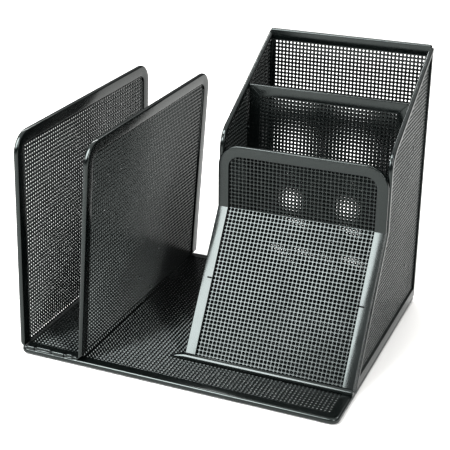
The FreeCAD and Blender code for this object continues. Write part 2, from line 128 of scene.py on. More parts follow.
def soft_box(name, shape, azimuth, elevation, distance, width, height, radiance):
    """A lamp turned to the organizer; its power gives its face the radiance asked for."""
    lamp = bpy.data.lights.new(name, "AREA")
    lamp.shape = shape
    lamp.size = width
    lamp.size_y = height
    face = width * height * (math.pi / 4 if shape == "ELLIPSE" else 1.0)
    lamp.energy = radiance * math.pi * face
    holder = bpy.data.objects.new(name, lamp)
    scene.collection.objects.link(holder)
    towards = direction(azimuth, elevation)
    holder.location = LIT_MIDDLE + distance * towards
    holder.rotation_mode = "QUATERNION"
    holder.rotation_quaternion = towards.to_track_quat("Z", "Y")
    return holder


key = soft_box("front_left_box", "ELLIPSE", -33.0, 40.0, 1.24, 1.0, 1.05, 18.0)
key.data.color = (0.97, 0.99, 1.0)
soft_box("right_box", "RECTANGLE", 50, 28, 1.6, 0.45, 0.8, 16.0)
soft_box("rear_strip", "RECTANGLE", 200, 52, 1.5, 1.6, 0.22, 16.0)


# ---------------------------------------------------------------- base channel
# The rim of the tray: a steel strip folded to a channel, mitred and welded at the corners,
# then sprayed with black enamel and stoved. It grips the edge of the mesh floor.
def stations(corners, closed=False, steps=6):
    """Places along an outline of corners (a, b, radius), for carrying a section along it.

    A row holds the sharp corner, its mitre, the unit normal to the right of the line, the
    radius and how far into the bend the place is, as the sine of half a turn. A rounded corner
    turns its normal in equal steps. The radius of a bend to the left counts as negative.
    """
    corners = [tuple(c) + (0.0,) * (3 - len(c)) for c in corners]
    points = np.array([c[:2] for c in corners], float)
    run = np.roll(points, -1, 0) - points
    run /= np.linalg.norm(run, axis=1, keepdims=True)
    after = np.stack([run[:, 1], -run[:, 0]], 1)
    before = np.roll(after, 1, 0)
    if not closed:
        before[0] = after[0]
        after[-1] = before[-1]
    mitre = (before + after) / (1 + (before * after).sum(1, keepdims=True))
    turn = np.arctan2(
        before[:, 0] * after[:, 1] - before[:, 1] * after[:, 0], (before * after).sum(1)
    )
    rows = []
    for k, (_, _, radius) in enumerate(corners):
        share = np.linspace(0, 1, steps + 1) if radius else np.array([0.5])
        angle = share * turn[k]
        normal = np.stack(
            [
                before[k, 0] * np.cos(angle) - before[k, 1] * np.sin(angle),
                before[k, 0] * np.sin(angle) + before[k, 1] * np.cos(angle),
            ],
            1,
        )
        signed = radius if turn[k] < 0 else -radius
        fixed = np.tile(np.r_[points[k], mitre[k]], (len(share), 1))
        bend = np.sin(math.pi * share) if radius else np.zeros(1)
        rows.append(np.column_stack([fixed, normal, np.full(len(share), signed), bend]))
    return np.vstack(rows)


def inset(path, depth):
    """The outline moved to the right of its line by each depth.

    A place comes to corner + (depth + r) mitre - r normal, where r is what the depth leaves
    of the radius.
    """
    corner, mitre, normal = (path[:, None, k : k + 2] for k in (0, 2, 4))
    radius = path[:, 6, None]
    left = np.where(radius < 0, radius - depth, np.maximum(radius - depth, 0))[..., None]
    return corner + (depth[..., None] + left) * mitre - left * normal


def section(corners, steps=4):
    """A closed section with rounded corners: rows of (depth, offset, how far into a bend)."""
    path = stations(corners, closed=True, steps=steps)
    outline = inset(path, np.zeros((len(path), 1)))[:, 0]
    return np.column_stack([outline, path[:, 7]])


def grid_faces(rows, columns, closed_rows, closed_columns=True):
    """Corner numbers of the faces between neighbouring points of a grid, row by row."""
    r = np.arange(rows if closed_rows else rows - 1)[:, None]
    c = np.arange(columns if closed_columns else columns - 1)[None, :]
    r2, c2 = (r + 1) % rows, (c + 1) % columns
    corners = (r * columns + c, r * columns + c2, r2 * columns + c2, r2 * columns + c)
    return np.stack(np.broadcast_arrays(*corners), -1).reshape(-1, 4)


def volume(points, faces):
    """The volume inside a closed surface, a sixth of the sum of a . (b x c) over triangles."""
    triangles = faces[:, :3] if faces.shape[1] == 3 else np.vstack([faces[:, :3], faces[:, [0, 2, 3]]])
    a, b, c = (points[triangles[:, k]] for k in range(3))
    return (a * np.cross(b, c)).sum() / 6


def loft(grid, closed=False):
    """A skin over a grid of points, rows along the piece and columns round it.

    Open ends are closed by a fan round the middle of the end row. Faces are turned outwards.
    """
    rows, columns = grid.shape[:2]
    points = grid.reshape(-1, 3)
    quads = grid_faces(rows, columns, closed)
    caps = np.zeros((0, 3), int)
    if not closed:
        middles = grid[[0, -1]].mean(1)
        points = np.vstack([points, middles])
        ring = np.arange(columns)
        after = (ring + 1) % columns
        first = rows * columns
        last = (rows - 1) * columns
        near = np.column_stack([np.full(columns, first), after, ring])
        far = np.column_stack([np.full(columns, first + 1), last + ring, last + after])
        caps = np.vstack([near, far])
    if volume(points, quads) + volume(points, caps) < 0:
        quads, caps = quads[:, ::-1], caps[:, ::-1]
    return points, quads.tolist() + caps.tolist()


def carried(path, profile, place, closed=False):
    """A section carried along a path, and how far into a bend of the section each point is."""
    depth = np.broadcast_to(profile[:, 0], (len(path), len(profile)))
    if path.shape[1] > 8:
        depth = np.minimum(depth, path[:, 8, None])
    flat = inset(path, depth)
    offset = np.broadcast_to(profile[:, 1], depth.shape)
    grid = np.stack(place(flat[..., 0], flat[..., 1], offset), -1)
    points, faces = loft(grid, closed)
    edge = np.broadcast_to(profile[:, 2], depth.shape).reshape(-1)
    return points, faces, np.pad(edge, (0, len(points) - len(edge)))


def group(name, inputs, outputs):
    """An empty shader node group with those sockets, and its input and output nodes."""
    tree = bpy.data.node_groups.new(name, "ShaderNodeTree")
    for label, kind, default in inputs:
        socket = tree.interface.new_socket(label, in_out="INPUT", socket_type=kind)
        socket.default_value = default
    for label, kind in outputs:
        tree.interface.new_socket(label, in_out="OUTPUT", socket_type=kind)
    return tree, tree.nodes.new("NodeGroupInput"), tree.nodes.new("NodeGroupOutput")


def node(tree, kind, links=(), **settings):
    """A node with its settings; links are (input, source socket or plain value)."""
    made = tree.nodes.new(kind)
    for key, setting in settings.items():
        setattr(made, key, setting)
    for key, source in links:
        if isinstance(source, bpy.types.NodeSocket):
            tree.links.new(source, made.inputs[key])
        else:
            made.inputs[key].default_value = source
    return made


def times(tree, first, second):
    """The product of two sockets."""
    return node(tree, "ShaderNodeMath", [(0, first), (1, second)], operation="MULTIPLY").outputs[0]


def sprayed_skin():
    """Enamel as sprayed: the ripple of orange peel, and slow cloudy change of gloss.

    Ripple is noise about 1.3 mm across; Cloud is noise some 40 mm across, from 0 to 1.
    """
    tree, given, out = group(
        "sprayed_skin",
        [("Coordinate", "NodeSocketVector", (0, 0, 0)), ("Ripple Scale", "NodeSocketFloat", 700)],
        [("Ripple", "NodeSocketFloat"), ("Cloud", "NodeSocketFloat")],
    )
    ripple = node(
        tree,
        "ShaderNodeTexNoise",
        [("Vector", given.outputs[0]), ("Scale", given.outputs[1]), ("Detail", 1.5)],
    )
    cloud = node(
        tree,
        "ShaderNodeTexNoise",
        [("Vector", given.outputs[0]), ("Scale", 24.0), ("Detail", 3.0), ("Roughness", 0.6)],
    )
    tree.links.new(ripple.outputs[0], out.inputs[0])
    tree.links.new(cloud.outputs[0], out.inputs[1])
    return tree


def rubbed_edge():
    """Where handling has polished a folded edge: the bend mask broken up by fine noise."""
    tree, given, out = group(
        "rubbed_edge",
        [
            ("Coordinate", "NodeSocketVector", (0, 0, 0)),
            ("Bend", "NodeSocketFloat", 0.0),
            ("Amount", "NodeSocketFloat", 0.5),
        ],
        [("Mask", "NodeSocketFloat")],
    )
    patches = node(
        tree,
        "ShaderNodeTexNoise",
        [("Vector", given.outputs[0]), ("Scale", 160.0), ("Detail", 3.0)],
    )
    broken = node(
        tree,
        "ShaderNodeMapRange",
        [(0, patches.outputs[0]), (1, 0.35), (2, 0.75)],
    )
    on_edge = times(tree, broken.outputs[0], given.outputs[1])
    tree.links.new(times(tree, on_edge, given.outputs[2]), out.inputs[0])
    return tree


def settled_dust():
    """Fine dust on what faces up: the normal's height, times speckled noise, from 0 to Amount."""
    tree, given, out = group(
        "settled_dust",
        [("Coordinate", "NodeSocketVector", (0, 0, 0)), ("Amount", "NodeSocketFloat", 0.2)],
        [("Mask", "NodeSocketFloat")],
    )
    facing = node(tree, "ShaderNodeNewGeometry")
    parts = node(tree, "ShaderNodeSeparateXYZ", [(0, facing.outputs["Normal"])])
    up = node(tree, "ShaderNodeMapRange", [(0, parts.outputs[2]), (1, 0.4), (2, 1.0)])
    speckle = node(
        tree,
        "ShaderNodeTexNoise",
        [("Vector", given.outputs[0]), ("Scale", 420.0), ("Detail", 4.0), ("Roughness", 0.7)],
    )
    spots = node(tree, "ShaderNodeMapRange", [(0, speckle.outputs[0]), (1, 0.45), (2, 0.7)])
    lying = times(tree, up.outputs[0], spots.outputs[0])
    tree.links.new(times(tree, lying, given.outputs[1]), out.inputs[0])
    return tree


SKIN, RUB, DUST = sprayed_skin(), rubbed_edge(), settled_dust()


RUBBED_LIGHTER, CLOUD_ROUGHNESS, RUBBED_SMOOTHER = 2.6, 0.05, 0.1
DUST_COLOUR = (0.30, 0.29, 0.27, 1)


def painted(name, colour, roughness, ripple=0.004 * mm, rub=0.5, dust=0.02):
    """Black enamel on steel: a satin paint film with a ripple, rubbed bends and a little dust."""
    material = bpy.data.materials.new(name)
    material.use_nodes = True
    tree = material.node_tree
    shader = tree.nodes["Principled BSDF"]
    shader.inputs["Specular Tint"].default_value = (0.93, 1.0, 0.98, 1)
    where = node(tree, "ShaderNodeTexCoord").outputs["Object"]
    skin = node(tree, "ShaderNodeGroup", node_tree=SKIN)
    tree.links.new(where, skin.inputs["Coordinate"])
    bend = node(tree, "ShaderNodeAttribute", attribute_name="bend").outputs["Fac"]
    rubbed = node(tree, "ShaderNodeGroup", node_tree=RUB)
    tree.links.new(where, rubbed.inputs["Coordinate"])
    tree.links.new(bend, rubbed.inputs["Bend"])
    rubbed.inputs["Amount"].default_value = rub
    dusty = node(tree, "ShaderNodeGroup", node_tree=DUST)
    tree.links.new(where, dusty.inputs["Coordinate"])
    dusty.inputs["Amount"].default_value = dust
    light = tuple(RUBBED_LIGHTER * c for c in colour)
    paint = node(tree, "ShaderNodeMix", data_type="RGBA")
    set_mix(tree, paint, rubbed.outputs[0], (*colour, 1), (*light, 1))
    dusted = node(tree, "ShaderNodeMix", data_type="RGBA")
    set_mix(tree, dusted, dusty.outputs[0], paint.outputs[2], DUST_COLOUR)
    tree.links.new(dusted.outputs[2], shader.inputs["Base Color"])
    cloudy = node(
        tree,
        "ShaderNodeMapRange",
        [
            (0, skin.outputs["Cloud"]),
            (1, 0.3),
            (2, 0.7),
            (3, roughness - CLOUD_ROUGHNESS),
            (4, roughness + CLOUD_ROUGHNESS),
        ],
    )
    polished = node(
        tree,
        "ShaderNodeMath",
        [(0, rubbed.outputs[0]), (1, -RUBBED_SMOOTHER), (2, cloudy.outputs[0])],
        operation="MULTIPLY_ADD",
    )
    tree.links.new(polished.outputs[0], shader.inputs["Roughness"])
    relief = node(
        tree,
        "ShaderNodeBump",
        [("Height", skin.outputs["Ripple"]), ("Distance", ripple), ("Strength", 1.0)],
    )
    tree.links.new(relief.outputs[0], shader.inputs["Normal"])
    return material


def set_mix(tree, mix, factor, a, b):
    """Wire a colour mix: its factor and its two colours, each a socket or a plain colour."""
    for index, source in ((0, factor), (6, a), (7, b)):
        if isinstance(source, bpy.types.NodeSocket):
            tree.links.new(source, mix.inputs[index])
        else:
            mix.inputs[index].default_value = source


CREASE = 28


def cleaned(mesh):
    """Merge doubled points, as at sharp inner corners and poles, and dissolve faces of no area."""
    shape = bmesh.new()
    shape.from_mesh(mesh)
    bmesh.ops.remove_doubles(shape, verts=shape.verts, dist=0.001 * mm)
    bmesh.ops.dissolve_degenerate(shape, edges=shape.edges, dist=0.001 * mm)
    shape.to_mesh(mesh)
    shape.free()


def piece(name, points, faces, nodes, finish, slot, bend=None, crease=CREASE):
    """A piece of the organizer that stands for CAD nodes, with its edges creased past an angle."""
    mesh = bpy.data.meshes.new(name)
    mesh.from_pydata(points, [], faces)
    if bend is not None:
        mesh.attributes.new("bend", "FLOAT", "POINT").data.foreach_set("value", bend.astype(np.float32))
    cleaned(mesh)
    mesh.polygons.foreach_set("use_smooth", np.full(len(mesh.polygons), crease > 0))
    if crease:
        mesh.set_sharp_from_angle(angle=math.radians(crease))
    mesh.materials.append(finish)
    item = bpy.data.objects.new(name, mesh)
    scene.collection.objects.link(item)
    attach(item, "root")
    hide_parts(*nodes)
    return item


def flat_place(a, b, t):
    """A piece lying level: across, along and height are x, y and z."""
    return a, b, t


enamel = painted("black_enamel", (0.0022, 0.0034, 0.0033), 0.16)
base_low, base_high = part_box("base_frame")
BASE_CORNER, BASE_BAND, STRIP = 8 * mm, 10 * mm, 1 * mm
TOP = base_high.z
base_path = stations(
    [
        (base_low.x, base_low.y, BASE_CORNER),
        (base_low.x, base_high.y, BASE_CORNER),
        (base_high.x, base_high.y, BASE_CORNER),
        (base_high.x, base_low.y, BASE_CORNER),
    ],
    closed=True,
    steps=8,
)
base_section = section(
    [
        (0, base_low.z, 1.5 * mm),
        (0, TOP, 2.2 * mm),
        (BASE_BAND, TOP, 0.3 * mm),
        (BASE_BAND, TOP - STRIP, 0.3 * mm),
        (STRIP, TOP - STRIP),
        (STRIP, base_low.z + STRIP),
        (BASE_BAND, base_low.z + STRIP, 0.3 * mm),
        (BASE_BAND, base_low.z, 0.3 * mm),
    ]
)
points, faces, bend = carried(base_path, base_section, flat_place, closed=True)
piece("tray_channel", points, faces, ["base_frame"], enamel, "enamel", bend)

# ---------------------------------------------------------------- base mesh
# The floor of the tray: thin sheet steel punched with a square grid of rounded holes, then
# enamelled, so that the holes narrow from their face to their back. The channel holds its edge.
# The sheet is drawn in two lengths, which meet on a line between holes.
PITCH, HOLE, HOLE_BACK, SHEET = 3.79 * mm, 3.2 * mm, 1.85 * mm, 1.15 * mm
HOLE_RING = 0.5 * np.array(
    [(1, -0.5), (1, 0.5), (0.5, 1), (-0.5, 1), (-1, 0.5), (-1, -0.5), (-0.5, -1), (0.5, -1)]
)


def perforated(across, up, place, keep=None, trim=None, face_side=1, shift=(0, 0)):
    """A punched sheet: square cells, each with a rounded square hole through it.

    Whole cells stand in the middle of the sheet, or moved from there by the shift, and its
    edge cells reach out to its ends.
    Eight points stand round each cell's middle, at half the hole's width one way and a
    quarter of it the other. Triangles join corners and points on both faces, and the two
    rings of points to each other. keep picks the cells that exist by their middles, and trim
    moves points onto the sheet's own edge. The holes are widest on the face side.
    """
    lines, middles = [], []
    for (start, end), moved in zip((across, up), shift):
        count = int((end - start) / PITCH + 0.001)
        line = (start + end) / 2 + moved + PITCH * (np.arange(count + 1) - count / 2)
        line = line[(line > start - 0.1 * PITCH) & (line < end + 0.1 * PITCH)]
        middles.append((line[1:] + line[:-1]) / 2)
        lines.append(np.r_[start, line[1:-1], end])
    rows = len(lines[1]) - 1
    corner_a, corner_b = np.meshgrid(*lines, indexing="ij")
    middle_a, middle_b = np.meshgrid(*middles, indexing="ij")
    kept = np.ones(middle_a.shape, bool) if keep is None else keep(middle_a, middle_b)
    i, j = np.nonzero(kept)
    layers = []
    for side in (1, -1):
        ring_a, ring_b = (HOLE if side == face_side else HOLE_BACK) * HOLE_RING.T
        flat_a = np.r_[corner_a.ravel(), (middle_a[i, j][:, None] + ring_a).ravel()]
        flat_b = np.r_[corner_b.ravel(), (middle_b[i, j][:, None] + ring_b).ravel()]
        if trim is not None:
            flat_a, flat_b = trim(flat_a, flat_b)
        layers.append(np.stack(place(flat_a, flat_b, side * SHEET / 2), -1))
    points = np.vstack(layers)
    behind = len(layers[0])

    step_i, step_j = np.array([1, 1, 0, 0]), np.array([0, 1, 1, 0])
    corner = (i[:, None] + step_i) * (rows + 1) + j[:, None] + step_j
    ring = corner_a.size + 8 * np.arange(len(i))[:, None] + np.arange(8)
    c, c_next = corner, np.roll(corner, -1, 1)
    r0, r1, r2 = ring[:, 0::2], ring[:, 1::2], np.roll(ring, -2, 1)[:, 0::2]
    face = np.vstack(
        [
            np.stack(three, -1).reshape(-1, 3)
            for three in ((c, c_next, r1), (c, r1, r0), (c_next, r2, r1))
        ]
    )
    ring_next = np.roll(ring, -1, 1)
    hole_wall = np.vstack(
        [
            np.stack((ring, ring_next, ring_next + behind), -1).reshape(-1, 3),
            np.stack((ring, ring_next + behind, ring + behind), -1).reshape(-1, 3),
        ]
    )
    padded = np.pad(kept, 1)
    side_i, side_j = np.array([1, 0, -1, 0]), np.array([0, 1, 0, -1])
    open_side = ~padded[i[:, None] + 1 + side_i, j[:, None] + 1 + side_j]
    near, far = c[open_side], c_next[open_side]
    edge_wall = np.vstack(
        [np.stack((far, near, near + behind), -1), np.stack((far, near + behind, far + behind), -1)]
    )
    faces = np.vstack([face, face[:, ::-1] + behind, hole_wall, edge_wall])
    if volume(points, faces) < 0:
        faces = faces[:, ::-1]
    used, faces = np.unique(faces, return_inverse=True)
    return points[used], faces.reshape(-1, 3)


mesh_enamel = painted("mesh_enamel", (0.0022, 0.0034, 0.0033), 0.24, ripple=0.002 * mm)
sheet_low, sheet_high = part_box("base_mesh")
UNDER_BAND = 8.5 * mm
floor_span = (base_low.y + UNDER_BAND, base_high.y - UNDER_BAND)
CELLS_UNDER_SORTER = 15
base_seam = base_low.x + UNDER_BAND + CELLS_UNDER_SORTER * PITCH


def base_place(a, b, t):
    """The base's sheet lies level, half its thickness either side of its middle."""
    return a, b, t + (sheet_low.z + sheet_high.z) / 2 + 0 * a


for name, ends in (
    ("tray_mesh_under_sorter", (base_low.x + UNDER_BAND, base_seam)),
    ("tray_mesh_open_side", (base_seam, base_high.x - UNDER_BAND)),
):
    points, faces = perforated(ends, floor_span, base_place)
    piece(name, points, faces, ["base_mesh"], mesh_enamel, "mesh", crease=0)

# ---------------------------------------------------------------- feet
# Four soft rubber discs glued under the tray's corners, with a moulded round edge.
rubber = painted("foot_rubber", (0.02, 0.02, 0.02), 0.75, ripple=0.02 * mm, rub=0.0, dust=0.3)
pads_low, pads_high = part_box("base_pads")
PAD_RADIUS = 4.5 * mm
pad_profile = np.array(
    [
        (0.0, 1.0),
        (1.0, 1.0),
        (1.0, 0.35),
        (0.95, 0.12),
        (0.85, 0.0),
        (0.0, 0.0),
    ]
)


def turned(profile, centre, axis_place, sides=24):
    """A profile (radius, height) turned about its axis: round its centre at equal angles."""
    angle = np.linspace(0, 2 * math.pi, sides, endpoint=False)[:, None]
    radius, height = profile[:, 0], profile[:, 1]
    grid = np.stack(
        axis_place(centre, radius * np.cos(angle), radius * np.sin(angle), height + 0 * angle), -1
    )
    return loft(grid, closed=True)


def merged(parts):
    """Several surfaces as one list of points and one of faces, numbered on from each other."""
    count, points, faces = 0, [], []
    for part_points, part_faces in parts:
        points.append(part_points)
        faces += [[k + count for k in face] for face in part_faces]
        count += len(part_points)
    return np.vstack(points), faces


def weld(item):
    """Turn the faces of turned pieces outwards and drop the edge left along their axis."""
    shape = bmesh.new()
    shape.from_mesh(item.data)
    axis = [edge for edge in shape.edges if edge.is_wire]
    bmesh.ops.delete(shape, geom=axis, context="EDGES")
    bmesh.ops.recalc_face_normals(shape, faces=shape.faces)
    shape.to_mesh(item.data)
    shape.free()
    item.data.polygons.foreach_set("use_smooth", np.ones(len(item.data.polygons), bool))
    item.data.set_sharp_from_angle(angle=math.radians(CREASE))


def upright_axis(centre, u, v, w):
    """A turned piece that stands up at its centre."""
    return centre[0] + u, centre[1] + v, centre[2] + w


pads = [
    turned(
        pad_profile * (PAD_RADIUS, pads_high.z - pads_low.z),
        (x, y, pads_low.z),
        upright_axis,
    )
    for x in (pads_low.x + PAD_RADIUS, pads_high.x - PAD_RADIUS)
    for y in (pads_low.y + PAD_RADIUS, pads_high.y - PAD_RADIUS)
]
weld(piece("rubber_feet", *merged(pads), ["base_pads"], rubber, "pads"))

# ---------------------------------------------------------------- sorter panels
# Two mesh panels for upright files, made from one punched sheet bent up at both sides.
# A folded strip binds the front, upper and rear edges, and curls round the bend at the foot.
PANEL_THICK, PANEL_BAND, PANEL_CORNER = 5 * mm, 12 * mm, 20 * mm
FOOT_RADIUS = 4.5 * mm
CURL = FOOT_RADIUS * math.pi / 2
FLOOR_RAIL = 2.6 * mm


def sorter_place(side):
    """A place on a sorter panel: leaning above, and curled inwards to the floor at its foot.

    Above the curl the panel rises straight, moved across in proportion to its height. Below,
    the height is a length along a quarter of a circle, and the strip thins towards the floor.
    """
    low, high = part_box(f"sorter_{side}_frame")
    lean = (high.x - low.x - PANEL_THICK) / (high.z - low.z)
    inward = 1 if side == "left" else -1
    start = low.x + PANEL_THICK / 2
    floor_up = TOP + FLOOR_RAIL / 2

    def place(a, b, t):
        along_curl = np.clip(b / CURL, 0, 1)
        angle = along_curl * math.pi / 2
        thin = FLOOR_RAIL / PANEL_THICK + (1 - FLOOR_RAIL / PANEL_THICK) * along_curl
        offset = t * thin if np.ndim(t) else t
        across_curl = FOOT_RADIUS * (1 - np.sin(angle)) * inward
        rise = np.maximum(b - CURL, 0)
        x = start + across_curl + offset * np.sin(angle) + lean * rise
        z = floor_up + FOOT_RADIUS * (1 - np.cos(angle)) + rise - offset * inward * np.cos(angle)
        return x, a + 0 * b, z

    top = (high.z - floor_up - FOOT_RADIUS) + CURL
    return place, (low.y, high.y), top


def clear_of_corners(start, end, top, radius):
    """Picks the cells whose middles lie clear of a panel's two rounded upper corners."""

    def keep(a, b):
        across = np.maximum(np.maximum(start + radius - a, a - end + radius), 0)
        return np.hypot(across, np.maximum(b - top + radius, 0)) < radius - 4 * mm

    return keep


for side in ("left", "right"):
    place, (front, rear), top = sorter_place(side)
    steps_up = [k / 6 * CURL for k in range(7)]
    panel_path = stations(
        [(front, b) for b in steps_up]
        + [(front, top, PANEL_CORNER), (rear, top, PANEL_CORNER)]
        + [(rear, b) for b in reversed(steps_up)],
        steps=10,
    )
    half = PANEL_THICK / 2
    panel_section = section(
        [
            (0, -half, 1.9 * mm),
            (0, half, 1.9 * mm),
            (PANEL_BAND - 0.8 * mm, half - 0.5 * mm, 0.8 * mm),
            (PANEL_BAND, 0.45 * mm),
            (PANEL_BAND, -0.45 * mm),
            (PANEL_BAND - 0.8 * mm, 0.5 * mm - half, 0.8 * mm),
        ],
        steps=5,
    )
    points, faces, bend = carried(panel_path, panel_section, place)
    piece(f"sorter_{side}_binding", points, faces, [f"sorter_{side}_frame"], enamel, "enamel", bend)
    margin = PANEL_BAND / 2
    points, faces = perforated(
        (front + margin, rear - margin),
        (0, top - margin),
        place,
        keep=clear_of_corners(front, rear, top, PANEL_CORNER),
    )
    piece(f"sorter_{side}_sheet", points, faces, [f"sorter_{side}_mesh"], mesh_enamel, "mesh", crease=0)

# ---------------------------------------------------------------- sorter floor
# The same punched sheet runs across the bottom of the sorter, bound by a flat rail front and
# rear. Folded tabs and wire loops, welded to the tray's rim, hold the rails down.
left_low, left_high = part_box("sorter_left_frame")
right_low, right_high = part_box("sorter_right_frame")
floor_left = left_low.x + PANEL_THICK / 2 + FOOT_RADIUS
floor_right = right_low.x + PANEL_THICK / 2 - FOOT_RADIUS
rail_low, rail_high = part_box("sorter_front_rail")
rear_rail_low, rear_rail_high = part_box("sorter_rear_rail")


def sorter_floor_place(a, b, t):
    """The sorter's floor lies level in the middle of its rails."""
    return a, b, t + TOP + FLOOR_RAIL / 2 + 0 * a


RAIL_COVER = 5 * mm
points, faces = perforated(
    (floor_left, floor_right),
    (rail_low.y + RAIL_COVER, rear_rail_high.y - RAIL_COVER),
    sorter_floor_place,
)
piece("sorter_floor_sheet", points, faces, ["sorter_floor_mesh"], mesh_enamel, "mesh", crease=0)


def straight(profile, start, end, place):
    """A section (u, v) carried straight from start to end along the third direction."""
    u, v = profile[:, 0], profile[:, 1]
    w = np.stack([start + 0 * u, end + 0 * u])
    points, faces = loft(np.stack(place(u + 0 * w, v + 0 * w, w), -1))
    edge = np.tile(profile[:, 2], 2)
    return points, faces, np.pad(edge, (0, len(points) - len(edge)))


def across_place(u, v, w):
    """A bar that runs across the organizer: its section is seen along x, as y and z."""
    return w, u, v


for end, (low, high) in (("front", (rail_low, rail_high)), ("rear", (rear_rail_low, rear_rail_high))):
    profile = section(
        [
            (low.y, low.z, 0.9 * mm),
            (low.y, high.z, 0.9 * mm),
            (high.y, high.z, 0.6 * mm),
            (high.y, low.z, 0.6 * mm),
        ]
    )
    points, faces, bend = straight(profile, floor_left, floor_right, across_place)
    piece(f"sorter_{end}_binding", points, faces, [f"sorter_{end}_rail"], enamel, "enamel", bend)

# where the folded tabs and the wire loops stand: (start, length) as shares of the rail
TAB_STRIP = 0.9 * mm
PLATE_SHARES = ((0.05, 0.12), (0.53, 0.20))
LOOP_SHARES = ((0.20, 0.30), (0.77, 0.14))
WIRE = 2.0 * mm
LOOP_SUNK, LOOP_RISE = 0.6 * mm, 0.8 * mm
tab_left, tab_right = left_low.x + PANEL_THICK, right_low.x
wire_section = section([(u * WIRE, v * WIRE, WIRE / 2) for u, v in ((0, 0), (0, 1), (1, 1), (1, 0))])
for end in ("front", "rear"):
    low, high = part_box(f"sorter_{end}_tabs")
    outer, inner = (low.y, high.y) if end == "front" else (high.y, low.y)
    inward = 1 if end == "front" else -1
    tab_profile = section(
        [
            (outer, low.z),
            (outer, high.z, 1.4 * mm),
            (inner, high.z, 0.3 * mm),
            (inner, high.z - TAB_STRIP, 0.3 * mm),
            (outer + inward * TAB_STRIP, high.z - TAB_STRIP, 0.5 * mm),
            (outer + inward * TAB_STRIP, low.z),
        ][::inward],
        steps=5,
    )
    tabs = []
    for start, share in PLATE_SHARES:
        near = tab_left + start * (tab_right - tab_left)
        far = near + share * (tab_right - tab_left)
        tabs.append(straight(tab_profile, near, far, across_place)[:2])

    def wire_place(a, b, t, outer=outer, inward=inward):
        """A wire loop stands on the tray's rim: across and up are x and z."""
        return a, outer + inward * t + 0 * a, b + 0 * a

    for start, share in LOOP_SHARES:
        near = tab_left + start * (tab_right - tab_left)
        far = near + share * (tab_right - tab_left)
        loop_path = stations(
            [
                (near, TOP - LOOP_SUNK, 1.8 * mm),
                (near, high.z + LOOP_RISE, 2.2 * mm),
                (far, high.z + LOOP_RISE, 2.2 * mm),
                (far, TOP - LOOP_SUNK, 1.8 * mm),
            ],
            closed=True,
        )
        tabs.append(carried(loop_path, wire_section, wire_place, closed=True)[:2])
    piece(f"sorter_{end}_hooks", *merged(tabs), [f"sorter_{end}_tabs"], enamel, "enamel")

# ---------------------------------------------------------------- caddy side walls
# Each side of the caddy is a punched sheet cut to a sloping, shouldered outline. A folded
# strip binds its edge all the way up, over and down the back, and a band closes its foot.
WALL, RIM, FOOT_BAND = 4.5 * mm, 5 * mm, 9.5 * mm
SHOULDER = 25 * mm
memo_low, memo_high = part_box("memo_frame")
MEMO_SLOPE = math.radians(57.3)
MEMO_THICK = 5 * mm
MEMO_BEND = 125 * mm
BEND_MITRE = math.tan((math.pi / 2 - MEMO_SLOPE) / 2)
EDGE_SLOPE = math.radians(29.5)
rim_low, rim_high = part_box("caddy_right_rim")
FRONT_EDGE = memo_high.y
REAR_EDGE = rim_high.y
SHOULDER_UP = rim_high.z - (REAR_EDGE - FRONT_EDGE) * math.tan(EDGE_SLOPE)
BEND_UP = TOP + MEMO_BEND - MEMO_THICK * BEND_MITRE
# at its top the rim juts out a little behind the back
CAP_OVERHANG, CAP_DEPTH = 2.6 * mm, 13 * mm


def wall_front(up):
    """How far forward a side wall reaches at each height: its front edge, then its slope."""
    return np.interp(
        up,
        [TOP, BEND_UP, SHOULDER_UP, rim_high.z],
        [FRONT_EDGE - (BEND_UP - TOP) / math.tan(MEMO_SLOPE), FRONT_EDGE, FRONT_EDGE, REAR_EDGE],
    )


for side in ("left", "right"):
    low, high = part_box(f"caddy_{side}_rim")
    middle = (low.x + high.x) / 2

    def wall_place(a, b, t, middle=middle):
        """A side wall stands upright: along and up are y and z."""
        return middle + t + 0 * a, a, b + 0 * a

    foot = wall_front(TOP)
    rim_path = stations(
        [
            (foot, TOP),
            (FRONT_EDGE, BEND_UP),
            (FRONT_EDGE, SHOULDER_UP, SHOULDER),
            (REAR_EDGE + CAP_OVERHANG, rim_high.z, 3 * mm),
            (REAR_EDGE, rim_high.z - CAP_DEPTH),
            (REAR_EDGE, TOP),
        ],
        steps=10,
    )
    # the foot of the sloping edge is cut level
    rim_path[0, 2:4] = (1 / math.sin(MEMO_SLOPE), 0)
    half = WALL / 2
    rim_section = section(
        [
            (0, -half, 1.6 * mm),
            (0, half, 1.6 * mm),
            (RIM, half, 0.4 * mm),
            (RIM, 0.5 * mm),
            (RIM, -0.5 * mm),
            (RIM, -half, 0.4 * mm),
        ],
        steps=5,
    )
    points, faces, bend = carried(rim_path, rim_section, wall_place)
    piece(f"caddy_{side}_binding", points, faces, [f"caddy_{side}_rim"], enamel, "enamel", bend)

    def inside_wall(a, b):
        """Cells behind the wall's sloping front and under its top."""
        return (a > wall_front(b) + 0.45 * PITCH) & (b < rim_high.z - 2 * mm)

    def trimmed(a, b):
        """Points past the wall's edge moved level onto it, a strip's thickness inside."""
        return np.maximum(a, wall_front(b) + STRIP), b

    points, faces = perforated(
        (foot + STRIP, REAR_EDGE - STRIP),
        (TOP + STRIP, rim_high.z - STRIP),
        wall_place,
        inside_wall,
        trimmed,
    )
    piece(f"caddy_{side}_sheet", points, faces, [f"caddy_{side}_mesh"], mesh_enamel, "mesh", crease=0)

    profile = section(
        [
            (-half, TOP),
            (-half, TOP + FOOT_BAND, 0.9 * mm),
            (half, TOP + FOOT_BAND, 0.9 * mm),
            (half, TOP),
        ]
    )
    points, faces, bend = straight(
        profile,
        wall_front(profile[:, 1]) + RIM,
        REAR_EDGE - RIM + 0.5 * mm,
        lambda u, v, w, middle=middle: (middle + u, w, v),
    )
    piece(f"caddy_{side}_foot_strip", points, faces, [f"caddy_{side}_foot_band"], enamel, "enamel", bend)

